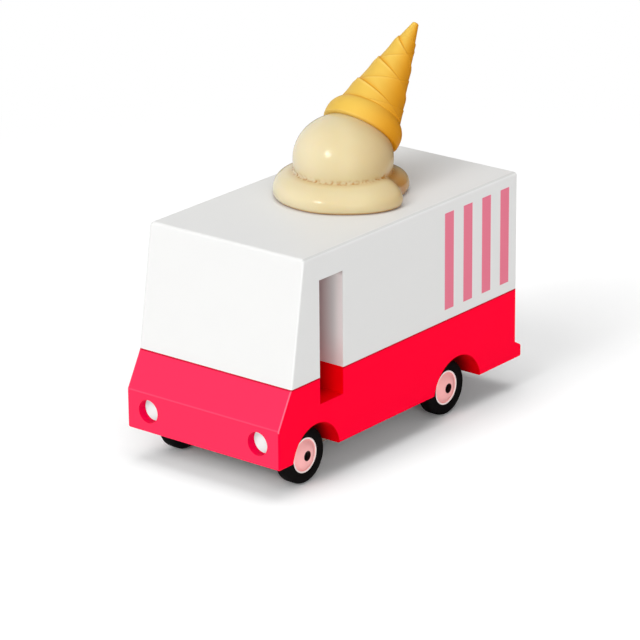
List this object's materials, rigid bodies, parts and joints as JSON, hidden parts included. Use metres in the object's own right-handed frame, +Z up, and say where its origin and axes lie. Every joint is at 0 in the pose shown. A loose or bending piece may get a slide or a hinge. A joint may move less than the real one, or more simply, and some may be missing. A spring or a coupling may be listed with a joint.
{
  "type": "toy ice cream van",
  "caption": "Small painted wooden toy ice cream van with rolling rubber-tyred wheels, side door recesses and a melting scoop with an upturned waffle cone on its roof.",
  "frame": {"origin": "on the floor under the middle of the van's length and width", "axes": "+Z up, -Y towards the front of the van, +X towards its left side, which is the side seen in the picture"},
  "size_m": [0.0506, 0.104, 0.1016],
  "materials": {
    "red_paint": "satin pink-red paint over wood",
    "white_paint": "satin white paint over wood",
    "rose_paint": "matt rose paint",
    "bare_wood": "plain sanded wood",
    "axle_steel": "dull steel rod",
    "pink_hub": "light pink moulded plastic",
    "black_tyre": "satin black rubber",
    "cream": "glossy cream-coloured resin",
    "waffle": "satin golden-yellow resin"
  },
  "bodies": {
    "body": {"body_lower": "red_paint", "body_upper": "white_paint", "side_bands_left": "rose_paint", "side_bands_right": "rose_paint", "headlamp_left": "white_paint", "headlamp_right": "white_paint", "chassis_block": "bare_wood", "ice_cream_base": "cream", "ice_cream_scoop": "cream", "waffle_cone": "waffle"},
    "front_wheels": {"axle_front": "axle_steel", "hub_front_left": "pink_hub", "hub_front_right": "pink_hub", "tyre_front_left": "black_tyre", "tyre_front_right": "black_tyre"},
    "rear_wheels": {"axle_rear": "axle_steel", "hub_rear_left": "pink_hub", "hub_rear_right": "pink_hub", "tyre_rear_left": "black_tyre", "tyre_rear_right": "black_tyre"}
  },
  "joints": [
    {"name": "front_axle_spin", "type": "hinge", "parent": "body", "child": "front_wheels", "pos_m": [0, -0.037, 0.00755], "axis": [1, 0, 0], "continuous": true},
    {"name": "rear_axle_spin", "type": "hinge", "parent": "body", "child": "rear_wheels", "pos_m": [0, 0.023, 0.00755], "axis": [1, 0, 0], "continuous": true}
  ]
}
